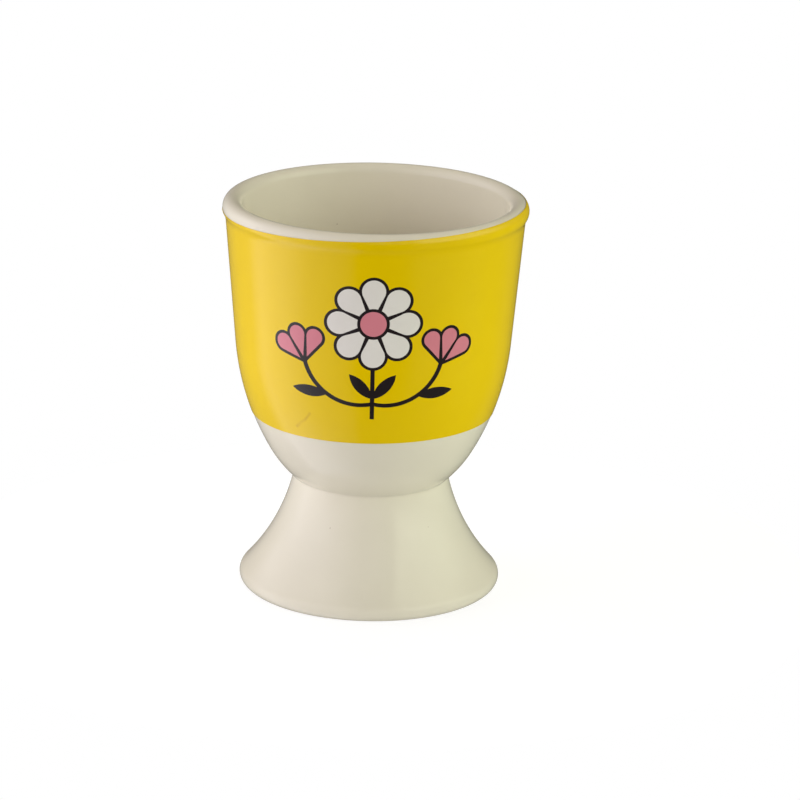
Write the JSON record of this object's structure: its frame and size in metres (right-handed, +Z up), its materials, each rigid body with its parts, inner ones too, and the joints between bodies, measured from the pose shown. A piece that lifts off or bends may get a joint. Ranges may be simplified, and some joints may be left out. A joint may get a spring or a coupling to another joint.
{
  "type": "egg cup",
  "caption": "Porcelain egg cup: a thin round bowl with a rolled lip, luted to a hollow flared foot, with a coloured printed band.",
  "frame": {"origin": "on the surface the cup stands on, under the middle of the foot", "axes": "+Z up along the cup's axis; -Y is the printed front; +X is to the right when the front is seen"},
  "size_m": [0.0502, 0.0502, 0.066],
  "materials": {
    "glazed_porcelain": "clear glossy glaze over warm white porcelain, bare and matt on the standing ring",
    "luting_slip": "glazed slip, same body as the cup",
    "yellow_print": "glossy fired transfer colour, bright yellow",
    "white_print": "glossy fired transfer colour, opaque white",
    "pink_print": "glossy fired transfer colour, dusty pink",
    "black_print": "glossy fired transfer colour, soft black"
  },
  "bodies": {
    "root": {"bowl": "glazed_porcelain", "foot": "glazed_porcelain", "joint_slip": "luting_slip", "yellow_band": "yellow_print", "white_petals": "white_print", "pink_print": "pink_print", "black_linework": "black_print"}
  },
  "joints": []
}
